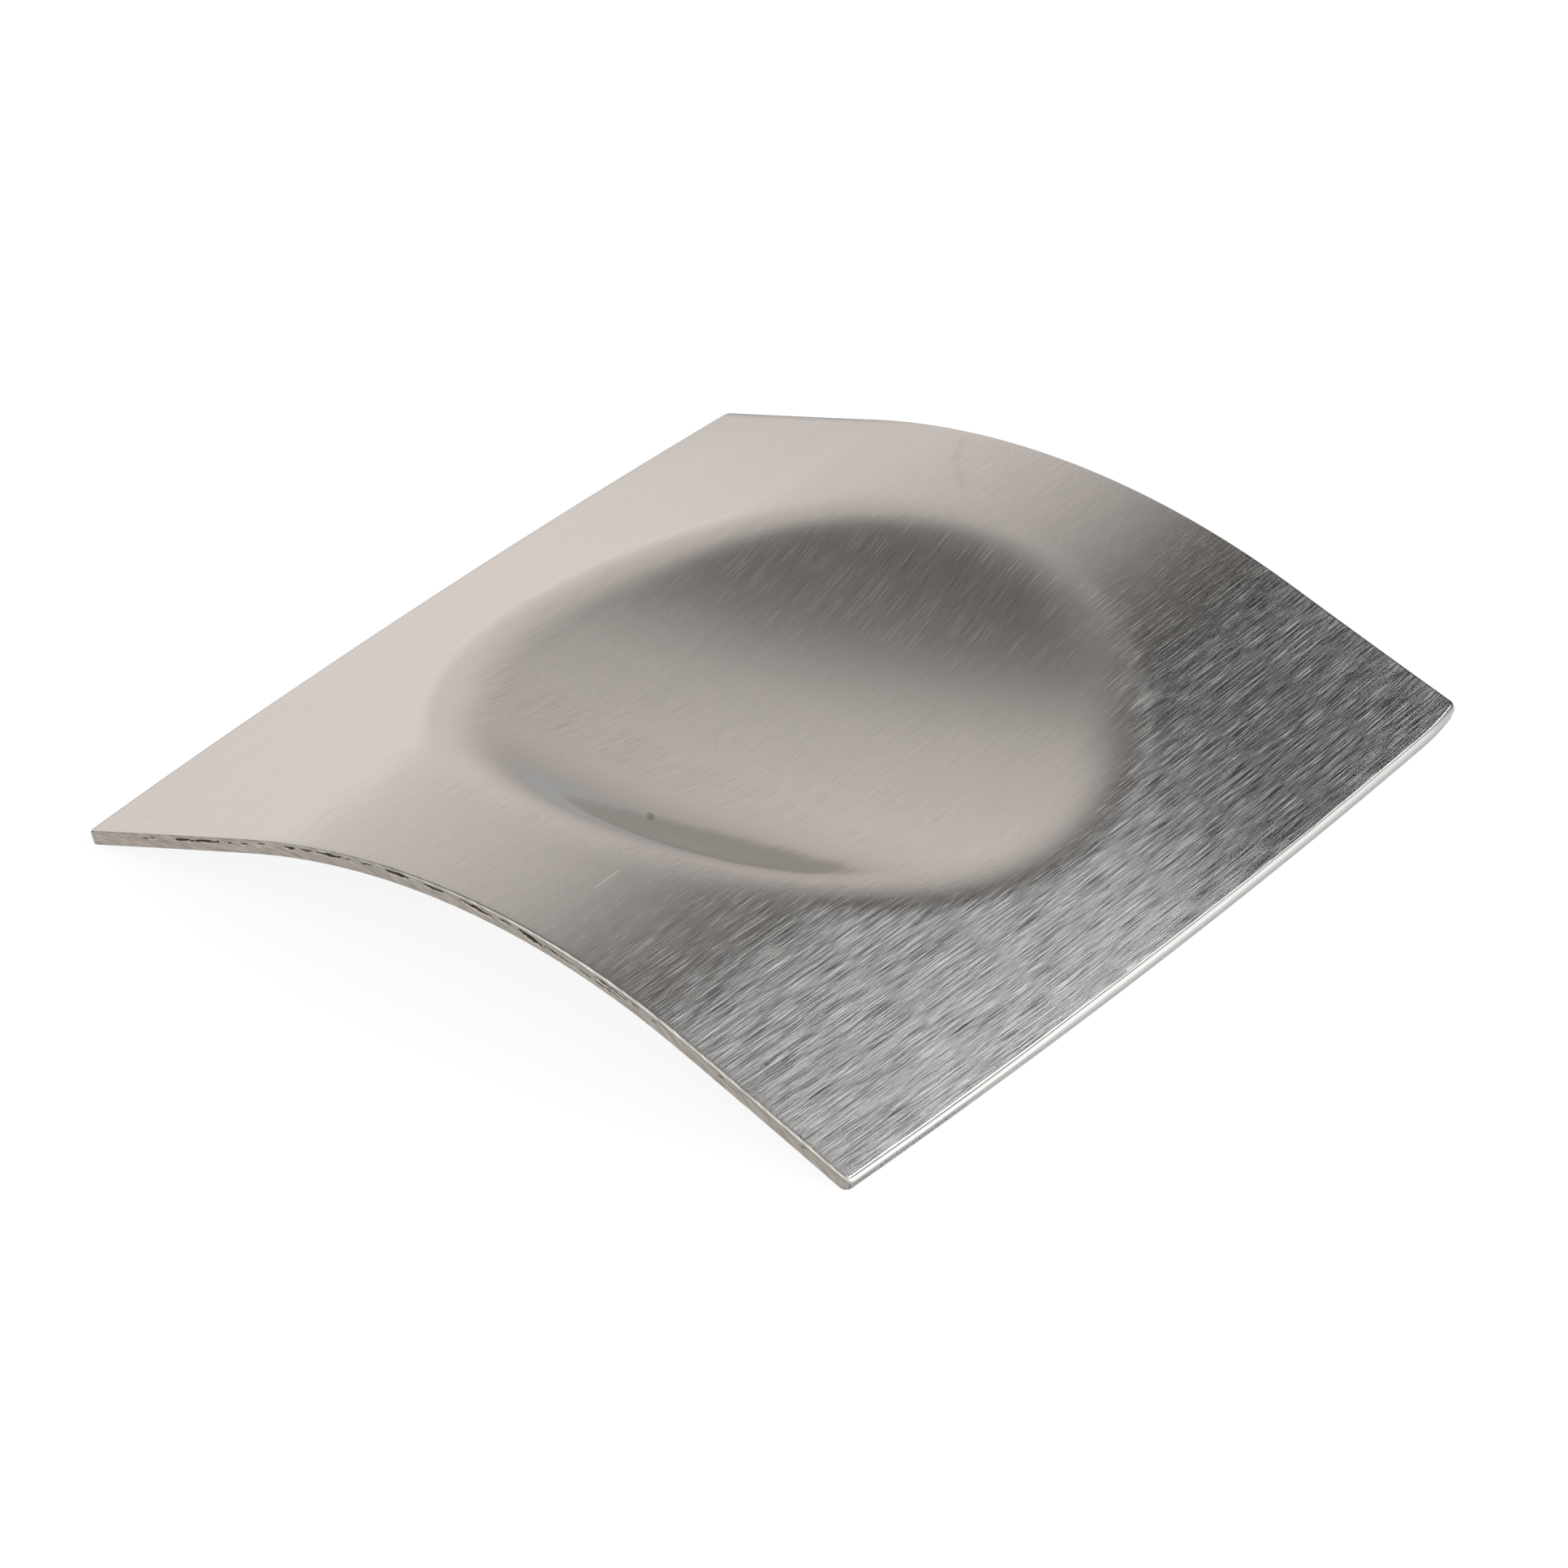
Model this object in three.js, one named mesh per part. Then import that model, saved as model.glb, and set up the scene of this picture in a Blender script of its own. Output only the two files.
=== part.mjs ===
// Spoon rest: one square of stainless steel sheet, pressed into a low arch with a round dish in it.
// Units are millimetres and +Z is up. The origin is on the table, under the middle of the dish.
// +X runs along the arch, from one standing end to the other, and +Y runs along the ends.

import * as THREE from 'three';
import { mergeVertices } from 'three/addons/utils/BufferGeometryUtils.js';

// The blank: the flat sheet as it is punched out
const sheetThickness = 1.5;
const blankLength = 96;
const blankWidth = 100;
const cornerRadius = 0.8;

// The cut edge: the standing ends are broken by hand into a wider round than the free sides
const endArrisRadius = 0.55;
const sideArrisRadius = 0.3;
const undersideArrisRadius = 0.1;

// The arch: a round crown that runs out into two straight legs
const archRadius = 80;
const legSlope = THREE.MathUtils.degToRad(19);

// The press spreads the middle of each standing end and draws in the middle of each free side
const endSpread = 1.25;
const sideDrawIn = 1.05;

// The dish: a shallow bowl, with a soft band where it turns out into the arch
const dishDepth = 8.5;
const dishRadius = 32.4;
const rimWidth = 9;

// The two ends are ground level underneath, so that the sheet stands without rocking
const groundDepth = 0.15;
const groundReach = 3;

// Fineness of the facets
const sheetCells = 40;
const cornerCells = 2;
const arrisSteps = 3;

const halfThickness = sheetThickness / 2;
const halfLength = blankLength / 2;
const halfWidth = blankWidth / 2;
const rimRise = (dishDepth * rimWidth) / dishRadius;

// Side view of the arch: the place of a point that lies this far along the sheet from its middle
function archPoint(along) {
  const distance = Math.abs(along);
  const slope = Math.min(distance / archRadius, legSlope);
  const leg = distance - slope * archRadius;
  const reach = archRadius * Math.sin(slope) + leg * Math.cos(slope);
  const drop = archRadius * (1 - Math.cos(slope)) + leg * Math.sin(slope);
  return { x: Math.sign(along) * reach, drop, slope };
}

const standingEnd = archPoint(halfLength);
const endHeight = halfThickness * Math.cos(standingEnd.slope) - groundDepth;
const crownHeight = standingEnd.drop + endHeight;

// Depth of the bowl below the arch, at this distance from its middle
function dishDrop(radius) {
  const bowl = dishDepth * (1 - (radius / dishRadius) ** 2);
  if (bowl >= rimRise) return bowl;
  if (bowl <= -rimRise) return 0;
  return ((bowl + rimRise) ** 3 * (3 * rimRise - bowl)) / (16 * rimRise ** 3);
}

// Where the press puts a point of the sheet's middle layer
function pressedMiddle(along, across) {
  const arch = archPoint(along);
  const acrossShare = across / halfWidth;
  const alongShare = along / halfLength;
  const spread = 1 + (endSpread / standingEnd.x) * (1 - acrossShare ** 2);
  const drawIn = 1 - (sideDrawIn / halfWidth) * (1 - alongShare ** 2);
  const x = arch.x * spread;
  const y = across * drawIn;
  return new THREE.Vector3(x, y, crownHeight - arch.drop - dishDrop(Math.hypot(x, y)));
}

// A point above or below the middle layer goes square to the pressed sheet, which keeps its thickness
function pressedPoint(along, across, lift) {
  const step = 0.01;
  const tangentAlong = pressedMiddle(along + step, across).sub(pressedMiddle(along - step, across));
  const tangentAcross = pressedMiddle(along, across + step).sub(pressedMiddle(along, across - step));
  const normal = tangentAlong.cross(tangentAcross).normalize();
  return pressedMiddle(along, across).addScaledVector(normal, lift);
}

// The grinder takes off what would lie below the table at the two ends
function groundLevel(point) {
  const atEnd = Math.abs(point.x) > standingEnd.x - groundReach;
  if (atEnd) point.z = Math.max(point.z, 0);
  return point;
}

// Cut edge of the blank from the top face down: how far each row is set in, and how high it lies
function cutEdgeRows(topArrisRadius) {
  const rows = [];
  for (let step = 0; step <= arrisSteps; step += 1) {
    const turn = ((step / arrisSteps) * Math.PI) / 2;
    rows.push({
      inset: topArrisRadius * (1 - Math.sin(turn)),
      lift: halfThickness - topArrisRadius * (1 - Math.cos(turn)),
    });
  }
  for (let step = 0; step <= arrisSteps; step += 1) {
    const turn = ((step / arrisSteps) * Math.PI) / 2;
    rows.push({
      inset: undersideArrisRadius * (1 - Math.cos(turn)),
      lift: undersideArrisRadius * (1 - Math.sin(turn)) - halfThickness,
    });
  }
  return rows;
}

const endRows = cutEdgeRows(endArrisRadius);
const sideRows = cutEdgeRows(sideArrisRadius);
const lastRow = endRows.length - 1;

// Grid line of the blank: even cells between the corners, and even steps of arc round each corner
function gridLine(index, half, inset) {
  const fromEdge = Math.min(index, sheetCells - index);
  const side = index * 2 < sheetCells ? -1 : 1;
  const inner = half - cornerRadius;
  if (fromEdge < cornerCells) {
    const turn = ((cornerCells - fromEdge) / cornerCells) * (Math.PI / 4);
    return side * (inner + (cornerRadius - inset) * Math.tan(turn));
  }
  const share = (index - cornerCells) / (sheetCells - 2 * cornerCells);
  return inner * (2 * share - 1);
}

// Place of a grid corner on the blank and its height in the sheet, drawn in to the arc at a corner
function blankPlace(column, line, row) {
  const end = endRows[row];
  const side = sideRows[row];
  const along = gridLine(column, halfLength, end.inset);
  const across = gridLine(line, halfWidth, side.inset);
  const pastEnd = Math.max(Math.abs(along) - (halfLength - cornerRadius), 0);
  const pastSide = Math.max(Math.abs(across) - (halfWidth - cornerRadius), 0);
  const turnEnd = pastEnd / (cornerRadius - end.inset);
  const turnSide = pastSide / (cornerRadius - side.inset);
  const turn = Math.hypot(turnEnd, turnSide);
  if (turn === 0) return { along, across, lift: side.lift };
  const pull = Math.max(turnEnd, turnSide) / turn;
  const endShare = (turnEnd / turn) ** 2;
  return {
    along: along - Math.sign(along) * pastEnd * (1 - pull),
    across: across - Math.sign(across) * pastSide * (1 - pull),
    lift: side.lift + endShare * (end.lift - side.lift),
  };
}

// The blank, gridded over both faces and round its cut edge, then pressed and ground point by point
function pressedSheet() {
  const sheet = new THREE.BoxGeometry(1, 1, 1, sheetCells, sheetCells, lastRow);
  sheet.deleteAttribute('normal');
  sheet.deleteAttribute('uv');
  const places = sheet.getAttribute('position');
  for (let corner = 0; corner < places.count; corner += 1) {
    const column = Math.round((places.getX(corner) + 0.5) * sheetCells);
    const line = Math.round((places.getY(corner) + 0.5) * sheetCells);
    const row = Math.round((0.5 - places.getZ(corner)) * lastRow);
    const blank = blankPlace(column, line, row);
    const pressed = groundLevel(pressedPoint(blank.along, blank.across, blank.lift));
    places.setXYZ(corner, pressed.x, pressed.y, pressed.z);
  }
  const welded = mergeVertices(sheet);
  welded.computeVertexNormals();
  return welded;
}

const brushedSteel = new THREE.MeshStandardMaterial({
  color: '#b8b1ab',
  roughness: 0.35,
  metalness: 1,
});

const dishedPlate = new THREE.Mesh(pressedSheet(), brushedSteel);
dishedPlate.name = 'dished_plate';

const spoonRest = new THREE.Group();
spoonRest.add(dishedPlate);

export default spoonRest;
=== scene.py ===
# %% [markdown]
# # A pressed steel spoon rest
# The object is one square of brushed stainless steel sheet, bent into a low arch with a round dish
# pressed into its crown. A reflecting sheet shows its surroundings more than its own colour, so this
# lesson needs three things: a true shape, a brushed finish that follows the sheet, and a quiet studio.

# %% Load the frame
import math

import bpy
import numpy as np
from mathutils import Euler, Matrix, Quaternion, Vector


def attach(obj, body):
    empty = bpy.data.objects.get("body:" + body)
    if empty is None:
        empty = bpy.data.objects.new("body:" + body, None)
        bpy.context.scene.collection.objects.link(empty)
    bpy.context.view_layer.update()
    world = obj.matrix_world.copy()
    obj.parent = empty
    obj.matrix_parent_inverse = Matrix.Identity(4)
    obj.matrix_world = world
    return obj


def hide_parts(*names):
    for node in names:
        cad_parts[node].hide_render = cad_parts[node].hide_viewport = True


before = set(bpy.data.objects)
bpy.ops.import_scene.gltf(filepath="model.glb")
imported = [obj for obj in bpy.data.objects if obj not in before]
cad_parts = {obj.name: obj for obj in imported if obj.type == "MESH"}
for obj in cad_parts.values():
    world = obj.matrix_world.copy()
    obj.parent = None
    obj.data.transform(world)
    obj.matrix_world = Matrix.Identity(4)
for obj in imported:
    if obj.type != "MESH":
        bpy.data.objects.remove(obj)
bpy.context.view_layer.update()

MM = 0.001

# %% [markdown]
# ## The camera
# A product picture is taken from far away with a long lens, which keeps the edges of the sheet nearly
# parallel. The camera could be aimed at the middle of the picture and shifted, but it is simpler to
# turn it a little until the crown of the sheet lands on its own pixel, with no roll and no shift.

# %% Camera
image_side = 1932
focal_pixels = 9542.9
sensor_width_mm = 36.0
crown_pixel = (964.5, 835.5)
crown_point = Vector((0, 0, 11.85 * MM))
camera_azimuth = math.radians(37.858)
camera_elevation = math.radians(32.857)
camera_distance = 753.9 * MM


def aimed_camera():
    """A level camera that puts the crown point on the crown pixel."""
    right = (crown_pixel[0] - image_side / 2) / focal_pixels
    up = (image_side / 2 - crown_pixel[1]) / focal_pixels
    reach = math.sqrt(1 + right**2 + up**2)
    tall = math.sqrt(1 + up**2)
    pitch = math.asin(-math.sin(camera_elevation) * reach / tall) - math.atan(up)
    swing = math.atan2(right, math.cos(pitch) - up * math.sin(pitch))
    lens = bpy.data.cameras.new("product_camera")
    lens.sensor_width = sensor_width_mm
    lens.lens = focal_pixels * sensor_width_mm / image_side
    lens.clip_start = 0.05
    lens.clip_end = 100
    camera = bpy.data.objects.new("product_camera", lens)
    flat = math.cos(camera_elevation)
    backward = Vector((
        math.sin(camera_azimuth) * flat,
        -math.cos(camera_azimuth) * flat,
        math.sin(camera_elevation),
    ))
    camera.location = crown_point + backward * camera_distance
    camera.rotation_euler = Euler((math.pi / 2 + pitch, 0, camera_azimuth + swing))
    bpy.context.scene.collection.objects.link(camera)
    return camera


bpy.context.scene.camera = aimed_camera()
print("camera lens in mm:", round(bpy.context.scene.camera.data.lens, 1))

# %% [markdown]
# ## The shape that the press gives
# The real sheet starts flat. The press bends it along an arch, sinks a round dish into the crown,
# spreads the middle of the standing ends and draws in the free sides. The same steps are written here
# as formulas on places of the flat blank, so every point of the sheet keeps its place on the blank,
# and the finish can later follow the metal as it was moved. Along runs from end to end over the arch,
# across runs from one free side to the other.

# %% Press formulas
sheet_thickness = 1.5 * MM
half_thickness = sheet_thickness / 2
half_length = 95.97 * MM / 2
half_width = 99.98 * MM / 2
arch_radius = 80 * MM
leg_slope = math.radians(19)
end_spread = 1.25 * MM
side_draw_in = 1.05 * MM
dish_depth = 8.5 * MM
dish_radius = 32.4 * MM
rim_width = 9 * MM
rim_rise = dish_depth * rim_width / dish_radius
ground_depth = 0.155 * MM
ground_reach = 3 * MM


def arch_point(along):
    """Side view of the arch: reach from the middle and drop below the crown."""
    distance = np.abs(along)
    slope = np.minimum(distance / arch_radius, leg_slope)
    leg = distance - slope * arch_radius
    reach = arch_radius * np.sin(slope) + leg * np.cos(slope)
    drop = arch_radius * (1 - np.cos(slope)) + leg * np.sin(slope)
    return np.sign(along) * reach, drop


end_reach, end_drop = arch_point(np.array(half_length))
crown_height = end_drop + half_thickness * math.cos(leg_slope) - ground_depth


def dish_drop(radius):
    """Depth of the dish below the arch, with a soft band at its rim."""
    bowl = dish_depth * (1 - (radius / dish_radius) ** 2)
    soft = (bowl + rim_rise) ** 3 * (3 * rim_rise - bowl) / (16 * rim_rise**3)
    return np.where(bowl >= rim_rise, bowl, np.where(bowl <= -rim_rise, 0, soft))


def pressed_middle(along, across):
    """Where the press puts a place of the blank's middle layer."""
    reach, drop = arch_point(along)
    x = reach * (1 + (end_spread / end_reach) * (1 - (across / half_width) ** 2))
    y = across * (1 - (side_draw_in / half_width) * (1 - (along / half_length) ** 2))
    return np.stack([x, y, crown_height - drop - dish_drop(np.hypot(x, y))], axis=-1)


def pressed_point(along, across, lift):
    """A place above or below the middle layer goes square to the pressed sheet."""
    step = 0.01 * MM
    run_along = pressed_middle(along + step, across) - pressed_middle(along - step, across)
    run_across = pressed_middle(along, across + step) - pressed_middle(along, across - step)
    normal = np.cross(run_along, run_across)
    normal /= np.linalg.norm(normal, axis=-1, keepdims=True)
    point = pressed_middle(along, across) + normal * lift[..., None]
    at_end = np.abs(point[..., 0]) > end_reach - ground_reach
    point[..., 2] = np.where(at_end, np.maximum(point[..., 2], 0), point[..., 2])
    return point


print("crown of the middle layer in mm:", round(crown_height / MM, 2))

# %% [markdown]
# ## The cut edge
# A punched edge has its own small landscape. The top is rolled over where the punch went in, then comes
# a torn band with loose flakes, then a rubbed band down to the underside. The two standing ends are
# filed by hand into a wider, shiny chamfer that grows towards the back, and one corner at the back is
# worn. A bevel modifier would give one round for all of them, so the edge is written as rows from the
# top face down, and each place along it has its own width and height of arris.

# %% Rows of the cut edge
side_arris = 0.3 * MM
back_arris_share = 0.6
left_arris_share = 0.35
left_arris_stretch = (-24, -2)
end_arris = 0.42 * MM
end_arris_height = 0.67
end_arris_growth = (0.24, 0.43)
end_arris_stretch = (-33, -12)
side_flatness = 0
end_flatness = 0.7
side_foot = 0.1 * MM
end_foot = 0.15 * MM
corner_radius = 0.8 * MM
arris_steps = 9
wall_steps = 10
foot_steps = 3
row_count = arris_steps + wall_steps + foot_steps + 1
roll_depth = 0.03 * MM
roll_reach = 1.2 * MM
worn_corner_depth = 0.55 * MM
worn_corner_start = 43.5 * MM
worn_corner_reach = 6.5 * MM


def soft_step(value, low, high):
    """0 at low, 1 at high, soft between them."""
    share = np.clip((value - low) / (high - low), 0, 1)
    return share * share * (3 - 2 * share)


def side_arris_size(along, across):
    """Width and height of the top arris of a free side. It is narrow on the left part of the front."""
    wide = soft_step(along / MM, *left_arris_stretch)
    front_share = left_arris_share + (1 - left_arris_share) * wide
    width = side_arris * np.where(across < 0, front_share, back_arris_share)
    return width, width


def end_arris_size(across):
    """Width and height of the top arris of a standing end, a chamfer that grows towards the back."""
    grown = soft_step(across / MM, *end_arris_stretch)
    width_growth, height_growth = end_arris_growth
    return end_arris * (1 + width_growth * grown), end_arris * (end_arris_height + height_growth * grown)


def edge_row(row, size, foot, flatness):
    """Inset and lift of one row of the cut edge, from the top down. Flatness 1 is a chamfer, 0 a round."""
    width, height = size
    top = half_thickness - height
    bottom = foot - half_thickness
    if row <= arris_steps:
        share = row / arris_steps
        turn = share * math.pi / 2
        inset = flatness * (1 - share) + (1 - flatness) * (1 - math.sin(turn))
        rise = flatness * (1 - share) + (1 - flatness) * math.cos(turn)
        return width * inset, top + height * rise
    if row <= arris_steps + wall_steps:
        share = (row - arris_steps) / wall_steps
        return np.zeros_like(width), top + share * (bottom - top)
    turn = (row - arris_steps - wall_steps) / foot_steps * math.pi / 2
    inset = foot * (1 - math.cos(turn))
    lift = bottom - foot * math.sin(turn)
    return np.full_like(width, inset), np.full_like(width, lift)


def worn_share(along, across):
    """How far the worn corner at the back of the right end draws the sheet in, as a share of its length."""
    past = np.clip((across - worn_corner_start) / worn_corner_reach, 0, 1)
    return np.where(along > 0, worn_corner_depth / half_length * past**2, 0)


def rolled_lift(across, lift):
    """The punch drags the top down a hair before it cuts, over the last millimetre of a free side."""
    near = np.clip(1 - (half_width - np.abs(across)) / roll_reach, 0, 1)
    return lift - roll_depth * near**2 * np.clip(lift / half_thickness, 0, 1)


print("rows round the cut edge:", row_count)

# %% [markdown]
# ## The torn band
# Where the metal tore instead of being cut, flakes stand a tenth or two of a millimetre deep. They run
# along the edge in short dark dashes that slant down to the right. The front edge gets its dashes one by
# one, as start, stop, depth below the top at both ends, and height. The back edge has its own from a
# seeded generator, so each run gives the same flakes.

# %% Torn band
tear_depth = 0.14 * MM
front_flakes = [
    (-42.7, -42.2, 0.42, 0.42, 0.11),
    (-40.9, -37.8, 0.44, 0.44, 0.11),
    (-36.3, -33.7, 0.42, 0.44, 0.26),
    (-33.6, -30.3, 0.40, 0.44, 0.28),
    (-30.1, -28.6, 0.44, 0.44, 0.11),
    (-27.6, -26.5, 0.44, 0.46, 0.11),
    (-25.6, -23.5, 0.44, 0.44, 0.11),
    (-22.0, -20.5, 0.42, 0.42, 0.23),
    (-19.7, -18.0, 0.42, 0.42, 0.12),
    (-17.8, -13.4, 0.40, 0.44, 0.23),
    (-12.2, -10.6, 0.40, 0.44, 0.18),
    (-9.2, -6.2, 0.40, 0.42, 0.26),
    (-4.5, -2.0, 0.42, 0.44, 0.18),
    (-0.3, 4.0, 0.45, 0.70, 0.28),
    (4.3, 6.0, 0.50, 0.52, 0.21),
    (7.0, 9.9, 0.50, 0.85, 0.34),
    (10.0, 13.0, 0.75, 0.90, 0.12),
    (13.0, 16.0, 0.85, 1.00, 0.12),
    (16.2, 18.2, 0.50, 0.60, 0.18),
    (16.4, 18.4, 0.90, 1.00, 0.16),
    (18.3, 20.2, 0.50, 0.62, 0.18),
    (18.5, 20.2, 0.85, 1.00, 0.12),
    (21.0, 21.7, 0.58, 0.60, 0.16),
    (23.4, 24.2, 0.58, 0.60, 0.16),
    (31.6, 32.2, 0.60, 0.60, 0.16),
    (42.0, 42.6, 0.60, 0.60, 0.16),
]


def random_flakes(seed):
    """A row of flakes for an edge that is not looked at closely."""
    pick = np.random.default_rng(seed)
    flakes = []
    start = -40.0
    while start < 28:
        stop = start + pick.uniform(1.2, 6)
        depth = pick.uniform(0.38, 0.5)
        flakes.append((start, stop, depth, depth + pick.uniform(-0.02, 0.12), pick.uniform(0.06, 0.24)))
        start = stop + pick.uniform(0.3, 2.5)
    return flakes


def wander(place, spacing, seed):
    """Smooth random curve from -1 to 1 with a new value at each spacing."""
    values = np.random.default_rng(seed).uniform(-1, 1, 2048)
    cell = place / spacing + 1024
    index = np.floor(cell).astype(int)
    share = cell - index
    share = share * share * (3 - 2 * share)
    return values[index] * (1 - share) + values[index + 1] * share


def tear_share(along, depth, flakes, seed):
    """How torn the edge is at a place along it and a depth below the top face, from 0 to 1."""
    torn = np.zeros(len(along))
    ragged = 0.05 * wander(along, 0.5 * MM, seed) + 0.04 * wander(along, 1.4 * MM, seed + 1)
    for start, stop, first_depth, last_depth, height in flakes:
        share = (along / MM - start) / (stop - start)
        inside = (share > 0) & (share < 1)
        swell = np.sqrt(np.clip(4 * share * (1 - share), 0, 1))
        swell = swell * (1 + 0.5 * wander(along, 0.8 * MM, seed + 2))
        middle = first_depth + share * (last_depth - first_depth) + ragged
        away = np.abs(depth / MM - middle)
        torn = np.maximum(torn, np.where(inside, np.clip((height * swell / 2 - away) / 0.05 + 0.5, 0, 1), 0))
    return torn


def polish_share(along, across, depth, end_part):
    """1 in the light band that the punch or a file left at the top of the edge, 0 below it."""
    front_reach = 0.13 + 0.2 * soft_step(along / MM, -24, -6)
    back_reach = 0.26 + 0.08 * wander(along, 7 * MM, 83)
    side_reach = np.where(across < 0, front_reach, back_reach)
    end_reach_down = 0.5 + 0.22 * soft_step(across / MM, -33, -12)
    reach = end_part * end_reach_down + (1 - end_part) * side_reach
    reach = reach + 0.03 * wander(along + across, 0.9 * MM, 61)
    return np.clip((reach - depth / MM) / 0.1 + 0.5, 0, 1)


print("flakes on the front edge:", len(front_flakes))

# %% [markdown]
# ## The sheet as one closed mesh
# The mesh is a grid on the top face, the same grid on the underside, and the rows of the cut edge
# between their borders. Narrow columns along the free sides carry the flakes. Square grid corners are
# drawn in to arcs, so the four corners of the sheet are round without a modifier.

# %% Grid of the blank
column_count = 384
line_count = 100
corner_cells = 3
border_steps = np.array([0.25, 0.55, 0.95, 1.5, 2.2]) * MM


def grid_lines(count, half):
    """Places of the grid lines: round the corners first, then fine steps, then even cells."""
    start = half - corner_radius
    outer = start + corner_radius * np.tan(np.linspace(0, math.pi / 4, corner_cells + 1))
    fine = start - border_steps
    inner_count = count - 2 * (corner_cells + len(border_steps))
    inner = np.linspace(-fine[-1], fine[-1], inner_count + 1)
    positive = np.concatenate([fine[-2::-1], outer])
    return np.concatenate([-positive[::-1], inner, positive])


def blank_place(column, line, row):
    """Place on the blank and lift of a grid corner, and how much of it belongs to a standing end."""
    along = grid_lines(column_count, half_length)[column]
    across = grid_lines(line_count, half_width)[line]
    corner_along = half_length - corner_radius
    corner_across = half_width - corner_radius
    share_along = np.maximum(np.abs(along) - corner_along, 0) / corner_radius
    share_across = np.maximum(np.abs(across) - corner_across, 0) / corner_radius
    both = np.maximum(np.hypot(share_along, share_across), 1e-9)
    in_corner = (share_along > 0) & (share_across > 0)
    pull = np.where(in_corner, np.maximum(share_along, share_across) / both, 1)
    end_part = (share_along / both) ** 2
    side_inset, side_lift = edge_row(row, side_arris_size(along, across), side_foot, side_flatness)
    end_inset, end_lift = edge_row(row, end_arris_size(across), end_foot, end_flatness)
    past_along = share_along * pull * (corner_radius - end_inset)
    past_across = share_across * pull * (corner_radius - side_inset)
    along = np.sign(along) * (np.minimum(np.abs(along), corner_along) + past_along)
    across = np.sign(across) * (np.minimum(np.abs(across), corner_across) + past_across)
    along = along * (1 - worn_share(along, across))
    return along, across, end_part * end_lift + (1 - end_part) * side_lift, end_part


def face_places(row):
    """Places, lifts and shares of a whole face, which shares its border with this row of the edge."""
    line, column = np.meshgrid(np.arange(line_count + 1), np.arange(column_count + 1), indexing="ij")
    along, across, lift, end_part = blank_place(column.ravel(), line.ravel(), row)
    polish = np.full(along.shape, 1.0 if row == 0 else 0.0)
    return along, across, rolled_lift(across, lift), np.zeros(len(along)), end_part, polish


def border_walk():
    """Column and line of each grid corner on the border, once round the sheet."""
    columns = np.arange(column_count)
    lines = np.arange(line_count)
    far_column = np.full(line_count, column_count)
    far_line = np.full(column_count, line_count)
    column = np.concatenate([columns, far_column, column_count - columns, np.zeros(line_count, int)])
    line = np.concatenate([np.zeros(column_count, int), lines, far_line, line_count - lines])
    return column, line


def edge_places(row):
    """Places, lifts and shares of tear, end and polish of one row round the cut edge."""
    column, line = border_walk()
    along, across, lift, end_part = blank_place(column, line, row)
    depth = half_thickness - lift
    front = tear_share(along, depth, front_flakes, 11)
    back = tear_share(-along, depth, random_flakes(5), 47)
    torn = np.where(end_part < 0.5, np.where(across < 0, front, back), 0)
    polish = polish_share(along, across, depth, end_part)
    lift = rolled_lift(across, lift)
    across = across - np.sign(across) * torn * tear_depth
    return along, across, lift, torn, end_part, polish


def sheet_mesh():
    """Points, faces and finishes of the whole sheet, with the blank place of every point."""
    parts = [face_places(0), face_places(row_count - 1)]
    parts += [edge_places(row) for row in range(1, row_count - 1)]
    along, across, lift, torn, end_part, polish = (np.concatenate(column) for column in zip(*parts))
    points = pressed_point(along, across, lift)
    cell_line, cell_column = np.meshgrid(np.arange(line_count), np.arange(column_count), indexing="ij")
    first = (cell_line * (column_count + 1) + cell_column).ravel()
    above = first + column_count + 1
    face_size = len(parts[0][0])
    top_faces = np.stack([first, first + 1, above + 1, above], axis=1)
    under_faces = top_faces[:, ::-1] + face_size
    column, line = border_walk()
    border = line * (column_count + 1) + column
    loops = [2 * face_size + index * len(border) + np.arange(len(border)) for index in range(row_count - 2)]
    loops = [border, *loops, border + face_size]
    edge_faces = []
    for upper, lower in zip(loops[:-1], loops[1:]):
        edge_faces.append(np.stack([upper, lower, np.roll(lower, -1), np.roll(upper, -1)], axis=1))
    faces = np.concatenate([top_faces, under_faces, *edge_faces])
    finish = np.ones(len(faces), int)
    finish[: len(top_faces)] = 0
    finish[len(top_faces) : 2 * len(top_faces)] = 2
    place = {"along": along, "across": across, "torn": torn, "standing_end": end_part, "polished": polish}
    place["edge_depth"] = (half_thickness - lift) / sheet_thickness
    return points, faces, finish, place


points, faces, finish, place = sheet_mesh()
print("sheet:", len(points), "points and", len(faces), "faces")

# %% [markdown]
# ## The sheet in the scene
# The brush map is a UV map with the place of every corner on the blank: one unit is a hundred
# millimetres, and V runs along the brush strokes, which lean a little from the standing ends. Four
# point attributes tell the cut edge how torn and how polished it is, how deep below the top it lies and
# whether it belongs to a standing end. An unwrap would lose these true lengths.

# %% Mesh object
brush_lean = math.radians(-0.1)
brush_unit = 100 * MM


def on_brush(along, across):
    """Blank place in millimetres to brush place in millimetres."""
    u = along * math.cos(brush_lean) - across * math.sin(brush_lean) + brush_unit / MM / 2
    v = along * math.sin(brush_lean) + across * math.cos(brush_lean) + brush_unit / MM / 2
    return u, v


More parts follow.
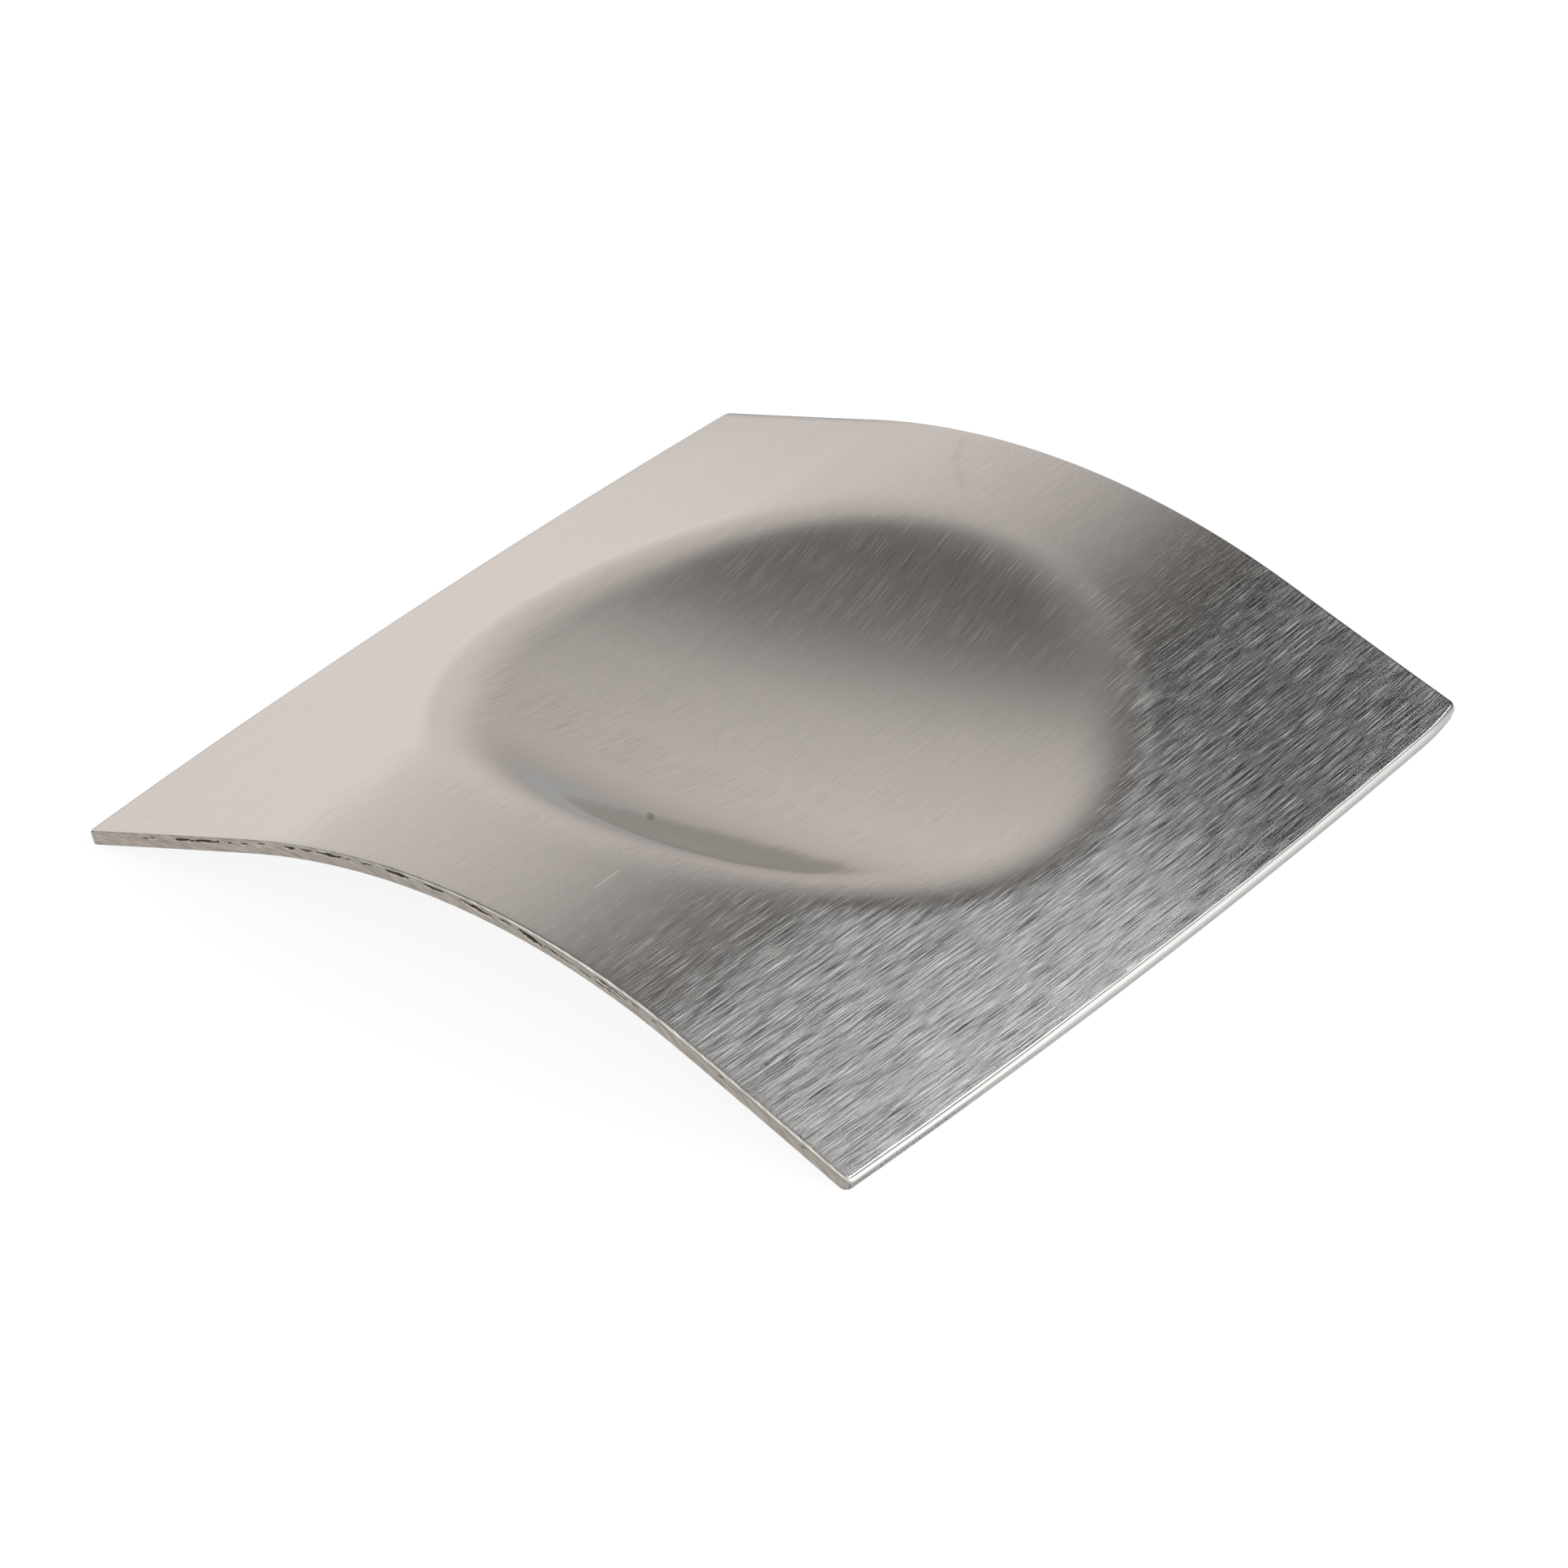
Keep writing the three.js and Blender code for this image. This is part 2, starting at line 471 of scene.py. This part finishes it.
def make_sheet():
    """The sheet as a mesh object, with its brush map and its edge attributes."""
    mesh = bpy.data.meshes.new("pressed_sheet")
    mesh.from_pydata(points.tolist(), [], faces.tolist())
    mesh.polygons.foreach_set("material_index", finish)
    mesh.polygons.foreach_set("use_smooth", np.ones(len(faces), bool))
    brush = np.stack(on_brush(place["along"] / MM, place["across"] / MM), axis=1) * MM / brush_unit
    corner = np.empty(len(mesh.loops), int)
    mesh.loops.foreach_get("vertex_index", corner)
    brush_map = mesh.uv_layers.new(name="brush")
    brush_map.data.foreach_set("uv", brush[corner].ravel())
    for name in ("torn", "polished", "edge_depth", "standing_end"):
        attribute = mesh.attributes.new(name, "FLOAT", "POINT")
        attribute.data.foreach_set("value", place[name].astype(np.float32))
    mesh.update()
    sheet = bpy.data.objects.new("pressed_sheet", mesh)
    bpy.context.scene.collection.objects.link(sheet)
    return sheet


sheet = make_sheet()
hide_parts("dished_plate")
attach(sheet, "root")
print("sheet object:", sheet.name, "in place of dished_plate")

# %% [markdown]
# ## Helpers for materials
# Shader trees are long to write by hand, so a few small helpers add a node, join two sockets, add up
# sockets by weight and make a group with named sockets.

# %% Node helpers


def add_node(tree, kind, values=None, **settings):
    """One node, with its settings and the values of its input sockets."""
    node = tree.nodes.new(kind)
    for name, value in settings.items():
        setattr(node, name, value)
    for socket, value in (values or {}).items():
        node.inputs[socket].default_value = value
    return node


def join(tree, source, target):
    """Links an output socket to an input socket."""
    tree.links.new(source, target)


def add_math(tree, operation, first, second=0.0):
    """A Math node on two sockets or numbers. Gives its output."""
    node = add_node(tree, "ShaderNodeMath", operation=operation)
    for index, value in enumerate((first, second)):
        if isinstance(value, (int, float)):
            node.inputs[index].default_value = value
        else:
            join(tree, value, node.inputs[index])
    return node.outputs[0]


def add_vector_math(tree, operation, first, second=None):
    """A Vector Math node on two sockets or triples. Gives the node."""
    node = add_node(tree, "ShaderNodeVectorMath", operation=operation)
    for index, value in enumerate((first, second)):
        if isinstance(value, (tuple, list, Vector)):
            node.inputs[index].default_value = value
        elif value is not None:
            join(tree, value, node.inputs[index])
    return node


def add_ramp(tree, value, low, high, from_value, to_value):
    """A soft step: from_value at low and below, to_value at high and above."""
    limits = {"From Min": low, "From Max": high, "To Min": from_value, "To Max": to_value}
    node = add_node(tree, "ShaderNodeMapRange", limits, interpolation_type="SMOOTHSTEP")
    join(tree, value, node.inputs["Value"])
    return node.outputs[0]


def weighted_sum(tree, pairs):
    """The sum of sockets, each times its own weight."""
    total = None
    for socket, weight in pairs:
        part = add_math(tree, "MULTIPLY", socket, weight)
        total = part if total is None else add_math(tree, "ADD", total, part)
    return total


def mix_color(tree, share, first, second):
    """A colour mix by a share. Colours are sockets or four numbers."""
    node = add_node(tree, "ShaderNodeMix", data_type="RGBA")
    join(tree, share, node.inputs[0])
    for index, value in ((6, first), (7, second)):
        if isinstance(value, tuple):
            node.inputs[index].default_value = value
        else:
            join(tree, value, node.inputs[index])
    return node.outputs[2]


def new_group(name, inputs, outputs):
    """A shader node group with float or vector sockets."""
    group = bpy.data.node_groups.new(name, "ShaderNodeTree")
    for label, kind in inputs:
        group.interface.new_socket(label, in_out="INPUT", socket_type="NodeSocket" + kind)
    for label, kind in outputs:
        group.interface.new_socket(label, in_out="OUTPUT", socket_type="NodeSocket" + kind)
    entry = group.nodes.new("NodeGroupInput")
    leave = group.nodes.new("NodeGroupOutput")
    return group, entry, leave


def place_group(tree, group, place, values):
    """A copy of a group at a place, with its values set. Gives its first output."""
    node = add_node(tree, "ShaderNodeGroup", node_tree=group)
    join(tree, place, node.inputs["Place"])
    for label, value in values.items():
        node.inputs[label].default_value = value
    return node.outputs[0]


print("node helpers ready")

# %% [markdown]
# ## Brush strokes
# A belt of abrasive leaves fine parallel strokes. Some are smooth inside and some are scratchy, so a
# stroke is mostly a line of sharper or duller mirror, and only a little a lean of the metal. Where the
# reflected studio changes from dark to light the strokes sparkle, and where it is even they vanish.
# Noise stretched along the strokes gives that change. It is a group, because the top and the underside
# share it.

# %% Stroke group


def stretched_place(group, entry):
    """The group's place, divided by the width and length of a stroke, on its own layer."""
    size = add_node(group, "ShaderNodeCombineXYZ", {"Z": 1.0})
    join(group, entry.outputs["Width"], size.inputs["X"])
    join(group, entry.outputs["Length"], size.inputs["Y"])
    stretched = add_vector_math(group, "DIVIDE", entry.outputs["Place"], size.outputs[0])
    layer = add_node(group, "ShaderNodeCombineXYZ")
    join(group, entry.outputs["Layer"], layer.inputs["Z"])
    return add_vector_math(group, "ADD", stretched.outputs[0], layer.outputs[0]).outputs[0]


def stroke_group():
    """Strength of brush strokes of a given width and length, about -1 to 1."""
    inputs = [("Place", "Vector"), ("Width", "Float"), ("Length", "Float"), ("Layer", "Float")]
    group, entry, leave = new_group("brush_strokes", inputs, [("Stroke", "Float")])
    noise = add_node(group, "ShaderNodeTexNoise", {"Scale": 1.0, "Detail": 1.0, "Roughness": 0.6})
    join(group, stretched_place(group, entry), noise.inputs["Vector"])
    centred = add_math(group, "SUBTRACT", noise.outputs[0], 0.5)
    join(group, add_math(group, "MULTIPLY", centred, 4.0), leave.inputs["Stroke"])
    return group


strokes = stroke_group()
print("group:", strokes.name)

# %% [markdown]
# ## Single scratches
# Here and there a coarse grain has cut deeper and left one bright line. Noise cannot give single lines,
# but a cell texture can: a round dot in each cell becomes a long thin line with tapered ends when the
# cells are stretched. Each cell has a random colour, which makes some lines strong and most of them weak.

# %% Scratch group


def scratch_group():
    """Strength of single scratches, 0 between them and up to 1 in the strongest."""
    inputs = [("Place", "Vector")]
    inputs += [(label, "Float") for label in ("Width", "Length", "Layer", "Size")]
    group, entry, leave = new_group("single_scratches", inputs, [("Scratch", "Float")])
    cells = add_node(group, "ShaderNodeTexVoronoi", {"Scale": 1.0}, voronoi_dimensions="3D")
    join(group, stretched_place(group, entry), cells.inputs["Vector"])
    near = add_math(group, "DIVIDE", cells.outputs["Distance"], entry.outputs["Size"])
    line = add_ramp(group, near, 0.4, 1.0, 1.0, 0.0)
    strength = add_node(group, "ShaderNodeSeparateColor")
    join(group, cells.outputs["Color"], strength.inputs[0])
    uneven = add_math(group, "POWER", strength.outputs[0], 3.0)
    join(group, add_math(group, "MULTIPLY", line, uneven), leave.inputs["Scratch"])
    return group


scratches = scratch_group()
print("group:", scratches.name)

# %% [markdown]
# ## Marks and painted glints
# The top has a few marks that anyone could point at: short scratches made lighter as painted glints, a
# faint stain behind the dish, a dark dot in the dish and a pit by the front painted dark as the shade in
# its hollow. Each is a short line on the blank, so one group that measures the distance from a line draws
# them all.

# %% Mark group


def mark_group():
    """1 on a line from one brush place to another, 0 farther than half the width from it."""
    inputs = [("Place", "Vector"), ("From", "Vector"), ("To", "Vector"), ("Width", "Float")]
    group, entry, leave = new_group("line_mark", inputs, [("Mark", "Float")])
    run = add_vector_math(group, "SUBTRACT", entry.outputs["To"], entry.outputs["From"]).outputs[0]
    past = add_vector_math(group, "SUBTRACT", entry.outputs["Place"], entry.outputs["From"]).outputs[0]
    along_run = add_vector_math(group, "DOT_PRODUCT", past, run).outputs["Value"]
    run_square = add_vector_math(group, "DOT_PRODUCT", run, run).outputs["Value"]
    share = add_math(group, "DIVIDE", along_run, run_square)
    share = add_math(group, "MINIMUM", add_math(group, "MAXIMUM", share, 0.0), 1.0)
    foot = add_node(group, "ShaderNodeVectorMath", operation="SCALE")
    join(group, run, foot.inputs[0])
    join(group, share, foot.inputs["Scale"])
    away = add_vector_math(group, "DISTANCE", past, foot.outputs[0]).outputs["Value"]
    near = add_math(group, "DIVIDE", away, entry.outputs["Width"])
    join(group, add_ramp(group, near, 0.15, 0.5, 1.0, 0.0), leave.inputs["Mark"])
    return group


line_mark = mark_group()
print("group:", line_mark.name)

# %% [markdown]
# ## Brushed steel
# Brushed metal smears reflections across its strokes and keeps them sharp along the strokes. The
# Principled shader has that as anisotropy, with a tangent from the brush map. The strokes and scratches
# change the roughness, and lean the normal a little through a normal map made from numbers: red is the
# lean across the strokes. Seen at a low angle the strokes hide each other and the steel is glossier, so
# the roughness falls there, and the edge tint keeps that mirror from turning white. A stain and dots
# make the metal darker, the pit is darkened as painted shade, and short scratches are made lighter as
# painted glints.

# %% Brushed steel
steel_color = (0.565, 0.561, 0.553)
steel_roughness = 0.16
grazing_roughness = 0.065
grazing_range = (0.51, 0.71)
steel_anisotropy = 1.0
steel_edge_tint = (0.85, 0.85, 0.85, 1)
grain_lean = 0.012
grain_roughness = 0.75
scratch_lean = 0.03
scratch_roughness = 0.8
top_marks_with_painted_light = [
    # The first nine marks are scratches made lighter: painted glints where they catch the light.
    ((8.49, -40.52), (8.41, -36.76), 0.2, -0.45),
    ((8.2, -0.18), (8.64, 4.19), 0.14, -0.16),
    ((11.14, 5.61), (11.44, 8.72), 0.14, -0.16),
    ((11.94, 24.27), (11.99, 28.16), 0.14, -0.2),
    ((9.31, 20.91), (9.04, 23.65), 0.14, -0.2),
    ((-8.5, 24.52), (-8.56, 31.64), 0.14, -0.16),
    ((6.27, 32.86), (8.07, 44.24), 0.14, -0.12),
    ((47.15, -7.5), (47.15, -6.3), 0.25, -0.4),
    ((47.2, -5.2), (47.2, -4.1), 0.25, -0.4),
    ((47.0, 20.0), (47.0, 20.1), 0.35, 0.35),
    ((-13.3, 48.37), (-11.34, 44.1), 1.2, 0.05),
    ((-11.34, 44.1), (-7.1, 39.71), 1.2, 0.05),
    # The pit is painted dark, as the shade in its hollow.
    ((33.68, -45.72), (33.68, -45.66), 0.5, 0.5),
    ((2.15, -24.13), (1.23, -22.95), 1.0, 0.45),
]


def brush_place(tree):
    """Place on the brushed blank in millimetres."""
    brush = add_node(tree, "ShaderNodeUVMap", uv_map="brush")
    place = add_node(tree, "ShaderNodeVectorMath", operation="SCALE")
    place.inputs["Scale"].default_value = brush_unit / MM
    join(tree, brush.outputs[0], place.inputs[0])
    return place.outputs[0]


def add_mark(tree, place, start, stop, width):
    """The line mark between two blank places in millimetres."""
    ends = {"From": (*on_brush(*start), 0), "To": (*on_brush(*stop), 0), "Width": width}
    return place_group(tree, line_mark, place, ends)


def brushed_steel(name, layer, marks):
    """Brushed sheet with its own strokes, and with marks, painted glints and painted shade from a list."""
    material = bpy.data.materials.new(name)
    material.use_nodes = True
    tree = material.node_tree
    shader = tree.nodes["Principled BSDF"]
    shader.inputs["Metallic"].default_value = 1
    shader.inputs["Anisotropic"].default_value = steel_anisotropy
    shader.inputs["Specular Tint"].default_value = steel_edge_tint
    place = brush_place(tree)
    short = place_group(tree, strokes, place, {"Width": 0.042, "Length": 4.2, "Layer": layer})
    long = place_group(tree, strokes, place, {"Width": 0.055, "Length": 11.0, "Layer": layer + 7})
    wide = place_group(tree, strokes, place, {"Width": 1.8, "Length": 26.0, "Layer": layer + 13})
    cells = {"Width": 0.35, "Length": 16.0, "Layer": layer + 19, "Size": 0.12}
    single = place_group(tree, scratches, place, cells)
    grain = weighted_sum(tree, [(short, 0.75), (long, 0.55)])
    spread = weighted_sum(tree, [(grain, grain_roughness), (single, scratch_roughness)])
    facing = add_node(tree, "ShaderNodeLayerWeight", {"Blend": 0.5}).outputs["Facing"]
    grazing = add_ramp(tree, facing, *grazing_range, steel_roughness, grazing_roughness)
    rough = add_math(tree, "MULTIPLY", add_math(tree, "EXPONENT", spread), grazing)
    join(tree, add_math(tree, "MINIMUM", rough, 0.6), shader.inputs["Roughness"])
    leans = [(grain, grain_lean), (wide, 0.003), (single, scratch_lean)]
    tilt = add_math(tree, "ADD", weighted_sum(tree, leans), 0.5)
    packed = add_node(tree, "ShaderNodeCombineColor", {"Green": 0.5, "Blue": 1.0})
    join(tree, tilt, packed.inputs["Red"])
    tipped = add_node(tree, "ShaderNodeNormalMap", uv_map="brush")
    join(tree, packed.outputs[0], tipped.inputs["Color"])
    join(tree, tipped.outputs[0], shader.inputs["Normal"])
    tangent = add_node(tree, "ShaderNodeTangent", direction_type="UV_MAP", uv_map="brush")
    join(tree, tangent.outputs[0], shader.inputs["Tangent"])
    # A negative darkness makes a mark lighter, a painted glint.
    shades = [(add_mark(tree, place, start, stop, width), -dark) for start, stop, width, dark in marks]
    shades.append((wide, 0.01))
    clean = add_math(tree, "ADD", weighted_sum(tree, shades), 1.0)
    color = add_node(tree, "ShaderNodeVectorMath", operation="SCALE")
    color.inputs[0].default_value = steel_color
    join(tree, clean, color.inputs["Scale"])
    join(tree, color.outputs[0], shader.inputs["Base Color"])
    return material


sheet.data.materials.append(brushed_steel("brushed_top", 1.0, top_marks_with_painted_light))
print("finish:", sheet.data.materials[0].name, "with", len(top_marks_with_painted_light), "marks")

# %% [markdown]
# ## The cut edge's metal
# The punched side shows a light rolled band at the top, torn flakes near-black with painted shade in
# their crevices, and a dull beige band with slanting drag marks. The filed ends are cleaner and greyer,
# with a scuffed stretch near the front and a strip of painted shade at the top of the chamfer that dims
# its reflection. One material does all of it from the four point attributes, because on the real sheet
# the bands run into each other at the corners.

# %% Cut edge
rolled_color = (0.6, 0.58, 0.54, 1)
filed_color = (0.94, 0.935, 0.915, 1)
# Painted shade: the very top strip of the filed chamfer is darker, which dims its reflection.
filed_top_painted_shade = (0.42, 0.42, 0.41, 1)
side_wall_color = (0.74, 0.67, 0.6, 1)
end_wall_color = (0.86, 0.85, 0.83, 1)
# Torn flakes: near-black as painted shade in their crevices, over the dull torn metal.
torn_crevice_shade_color = (0.09, 0.075, 0.065, 1)


def edge_place(tree):
    """Place on the cut edge in millimetres: distance along the edge, then depth below the top."""
    split = add_node(tree, "ShaderNodeSeparateXYZ")
    join(tree, brush_place(tree), split.inputs[0])
    deep = add_node(tree, "ShaderNodeAttribute", attribute_name="edge_depth")
    flat = add_node(tree, "ShaderNodeCombineXYZ")
    join(tree, add_math(tree, "ADD", split.outputs["X"], split.outputs["Y"]), flat.inputs["X"])
    join(tree, add_math(tree, "MULTIPLY", deep.outputs["Fac"], sheet_thickness / MM), flat.inputs["Y"])
    return flat.outputs[0]


def edge_grain(tree, place, turn, width, length):
    """Noise from 0 to 1 stretched into drag marks that run at an angle to the edge."""
    turned = add_node(tree, "ShaderNodeVectorRotate", {"Angle": turn}, rotation_type="Z_AXIS")
    join(tree, place, turned.inputs["Vector"])
    stretched = add_vector_math(tree, "DIVIDE", turned.outputs[0], (length, width, 1))
    noise = add_node(tree, "ShaderNodeTexNoise", {"Scale": 1.0, "Detail": 3.0, "Roughness": 0.6})
    join(tree, stretched.outputs[0], noise.inputs["Vector"])
    return noise.outputs[0]


def edge_attribute(tree, name):
    """One of the sheet's point attributes."""
    return add_node(tree, "ShaderNodeAttribute", attribute_name=name).outputs["Fac"]


def edge_colors(tree, place, depth, end):
    """Colours of the wall, its light top band and the torn flakes with painted shade, before any scuffs."""
    tear = edge_attribute(tree, "torn")
    speck = edge_grain(tree, place, math.radians(-8), 0.12, 0.7)
    uneven = add_math(tree, "SUBTRACT", speck, 0.5)
    band = add_math(tree, "ADD", edge_attribute(tree, "polished"), add_math(tree, "MULTIPLY", uneven, 0.9))
    wall = mix_color(tree, end, side_wall_color, end_wall_color)
    # The very top strip of the filed chamfer takes the painted shade colour.
    below_painted_shade = add_ramp(tree, depth, 0.02, 0.08, 0.0, 1.0)
    filed = mix_color(tree, below_painted_shade, filed_top_painted_shade, filed_color)
    light = mix_color(tree, end, rolled_color, filed)
    wall = mix_color(tree, add_ramp(tree, band, 0.3, 0.7, 0.0, 1.0), wall, light)
    ragged = add_math(tree, "ADD", tear, add_math(tree, "MULTIPLY", uneven, 1.5))
    inside = add_ramp(tree, tear, 0.02, 0.2, 0.0, 1.0)
    # Where the edge tore, the colour turns to the painted shade of the crevices.
    dark = add_math(tree, "MULTIPLY", add_ramp(tree, ragged, 0.3, 0.6, 0.0, 1.0), inside)
    return mix_color(tree, dark, wall, torn_crevice_shade_color)


def end_rub(tree, place, run, end):
    """Dark steep scuffs on the stretch of the right end next to the front corner."""
    rub = add_math(tree, "MULTIPLY", end, add_ramp(tree, run, 110.0, 119.0, 1.0, 0.0))
    rub = add_math(tree, "MULTIPLY", rub, add_ramp(tree, run, 96.0, 98.0, 0.0, 1.0))
    steep = edge_grain(tree, place, math.radians(-62), 0.12, 1.1)
    return add_math(tree, "MULTIPLY", rub, add_ramp(tree, steep, 0.42, 0.58, 0.6, 0.0))


def edge_shade(tree, place, run, end):
    """Brightness of the wall from drag marks and scuffs. The filed chamfer stays clean."""
    drag = edge_grain(tree, place, math.radians(-20), 0.09, 1.6)
    patch = edge_grain(tree, place, math.radians(-14), 0.35, 2.6)
    soft_marks = add_ramp(tree, patch, 0.35, 0.65, 0.8, 1.08)
    shade = add_math(tree, "MULTIPLY", add_ramp(tree, drag, 0.3, 0.7, 0.74, 1.14), soft_marks)
    drag_share = add_math(tree, "SUBTRACT", 1.0, add_math(tree, "MULTIPLY", end, 0.6))
    contrast = add_math(tree, "MULTIPLY", add_math(tree, "SUBTRACT", shade, 1.0), drag_share)
    shade = add_math(tree, "ADD", contrast, 1.0)
    unrubbed = add_math(tree, "SUBTRACT", 1.0, end_rub(tree, place, run, end))
    shade = add_math(tree, "MULTIPLY", shade, unrubbed)
    polish = add_ramp(tree, edge_attribute(tree, "polished"), 0.1, 0.6, 0.0, 1.0)
    clean = add_math(tree, "MULTIPLY", end, polish)
    lifted = add_math(tree, "MULTIPLY", clean, add_math(tree, "SUBTRACT", 1.0, shade))
    return add_math(tree, "ADD", shade, lifted)


def cut_edge_steel():
    """Bare punched edge: light at the rolled top, near-black painted shade where it tore, dull below."""
    material = bpy.data.materials.new("cut_edge")
    material.use_nodes = True
    tree = material.node_tree
    shader = tree.nodes["Principled BSDF"]
    shader.inputs["Metallic"].default_value = 1
    place = edge_place(tree)
    split = add_node(tree, "ShaderNodeSeparateXYZ")
    join(tree, place, split.inputs[0])
    end = edge_attribute(tree, "standing_end")
    color = add_node(tree, "ShaderNodeVectorMath", operation="SCALE")
    join(tree, edge_colors(tree, place, split.outputs["Y"], end), color.inputs[0])
    join(tree, edge_shade(tree, place, split.outputs["X"], end), color.inputs["Scale"])
    join(tree, color.outputs[0], shader.inputs["Base Color"])
    join(tree, add_ramp(tree, split.outputs["Y"], 0.2, 0.6, 0.26, 0.42), shader.inputs["Roughness"])
    return material


sheet.data.materials.append(cut_edge_steel())
sheet.data.materials.append(brushed_steel("brushed_underside", 31.0, []))
print("finishes:", [m.name for m in sheet.data.materials])

# %% [markdown]
# ## The studio
# The steel is a soft mirror, so the studio is made of what the mirror should show: a warm wall on the
# left, a soft box with a brighter middle behind on the right, and pale cards for the cut edges. Lamps
# alone would leave hard dots in the metal, so the wall and the cards are soft patches painted on the
# world around the object. The floor is white paper to the camera and light grey in the steel, as a table
# is beside an object. Its own brightness puts no light on the object, and it keeps the soft shadow.

# %% Studio
warm_light = (1.12, 1.026, 0.965)
cool_light = (1.0, 1.0, 1.0)
floor_white = 1.09
floor_mirrored = 0.53
warm_patches = [
    (-53.0, 43.5, 2.0, 34.0, 0.22),
    (-57.5, 4.0, 8.0, 5.0, 0.24),
    (-49.5, 26.0, 8.0, 24.5, 0.52),
    (-34.0, -26.0, 12.0, 51.0, 0.59),
]
cool_patches = [
    (18.5, 36.0, 4.0, 4.5, 4.8),
    (72.0, 8.0, 24.0, 21.0, 1.15),
    (150.0, 46.0, 41.0, 22.0, 0.84),
    (-140.0, 22.0, 30.0, 14.0, 0.72),
]


def toward(azimuth, elevation):
    """Direction from the object. Azimuth is in degrees from +Y towards +X."""
    a = math.radians(azimuth)
    e = math.radians(elevation)
    return Vector((math.sin(a) * math.cos(e), math.cos(a) * math.cos(e), math.sin(e)))


def light_patches(tree, direction, patches, color):
    """Coloured sum of round patches: azimuth, elevation, even radius and soft border in degrees, level."""
    total = []
    for azimuth, elevation, even, border, level in patches:
        facing = add_vector_math(tree, "DOT_PRODUCT", direction, toward(azimuth, elevation)).outputs["Value"]
        low = math.cos(math.radians(even + border))
        high = math.cos(math.radians(even))
        total.append((add_ramp(tree, facing, low, high, 0.0, 1.0), level))
    tinted = add_node(tree, "ShaderNodeVectorMath", operation="SCALE")
    tinted.inputs[0].default_value = color
    join(tree, weighted_sum(tree, total), tinted.inputs["Scale"])
    return tinted.outputs[0]


def studio_world():
    """Dark room with its lit wall and cards. The camera itself sees white."""
    world = bpy.data.worlds.new("studio")
    bpy.context.scene.world = world
    world.use_nodes = True
    tree = world.node_tree
    direction = add_node(tree, "ShaderNodeTexCoord").outputs["Generated"]
    warm = light_patches(tree, direction, warm_patches, warm_light)
    cool = light_patches(tree, direction, cool_patches, cool_light)
    both = add_vector_math(tree, "ADD", warm, cool).outputs[0]
    seen = add_node(tree, "ShaderNodeLightPath").outputs["Is Camera Ray"]
    join(tree, mix_color(tree, seen, both, (1, 1, 1, 1)), tree.nodes["Background"].inputs["Color"])


def soft_box(name, azimuth, elevation, roll, distance, width, height, radiance):
    """A square lamp that faces the object and shines with an even radiance."""
    lamp = bpy.data.lights.new(name, "AREA")
    lamp.shape = "RECTANGLE"
    lamp.size = width
    lamp.size_y = height
    lamp.energy = radiance * math.pi * width * height
    holder = bpy.data.objects.new(name, lamp)
    out = toward(azimuth, elevation)
    holder.location = out * distance
    turn = out.to_track_quat("Z", "Y") @ Quaternion((0, 0, 1), math.radians(roll))
    holder.rotation_euler = turn.to_euler()
    bpy.context.scene.collection.objects.link(holder)
    return holder


def white_floor():
    """A wide pale floor that keeps the object's shadow. From below it is clear."""
    reach = 40.0
    drop = -0.02 * MM
    corners = [(-reach, -reach, drop), (reach, -reach, drop), (reach, reach, drop), (-reach, reach, drop)]
    mesh = bpy.data.meshes.new("floor")
    mesh.from_pydata(corners, [], [(0, 1, 2, 3)])
    floor = bpy.data.objects.new("floor", mesh)
    bpy.context.scene.collection.objects.link(floor)
    material = bpy.data.materials.new("floor_paper")
    material.use_nodes = True
    tree = material.node_tree
    tree.nodes.remove(tree.nodes["Principled BSDF"])
    matt = add_node(tree, "ShaderNodeBsdfDiffuse", {"Color": (0.9, 0.9, 0.9, 1)})
    glow = add_node(tree, "ShaderNodeEmission", {"Color": (1, 1, 1, 1)})
    path = add_node(tree, "ShaderNodeLightPath")
    mirrored = add_math(tree, "MAXIMUM", path.outputs["Is Glossy Ray"], path.outputs["Is Transmission Ray"])
    levels = [(path.outputs["Is Camera Ray"], floor_white), (mirrored, floor_mirrored)]
    join(tree, weighted_sum(tree, levels), glow.inputs["Strength"])
    seen = add_math(tree, "MAXIMUM", path.outputs["Is Camera Ray"], mirrored)
    mix = add_node(tree, "ShaderNodeMixShader")
    join(tree, add_math(tree, "MULTIPLY", seen, 0.8), mix.inputs[0])
    join(tree, matt.outputs[0], mix.inputs[1])
    join(tree, glow.outputs[0], mix.inputs[2])
    below = add_node(tree, "ShaderNodeMixShader")
    join(tree, add_node(tree, "ShaderNodeNewGeometry").outputs["Backfacing"], below.inputs[0])
    join(tree, mix.outputs[0], below.inputs[1])
    join(tree, add_node(tree, "ShaderNodeBsdfTransparent").outputs[0], below.inputs[2])
    join(tree, below.outputs[0], tree.nodes["Material Output"].inputs["Surface"])
    mesh.materials.append(material)


studio_world()
white_floor()
soft_box("soft_box_middle", 35.4, 57.6, 51, 0.79, 0.04, 0.40, 5.6)
soft_box("soft_box_border", 35.4, 57.6, 51, 0.795, 0.17, 0.54, 3.36)
bpy.context.scene.view_settings.view_transform = "Standard"
print("studio:", len(warm_patches), "warm patches,", len(cool_patches), "pale cards and one soft box")
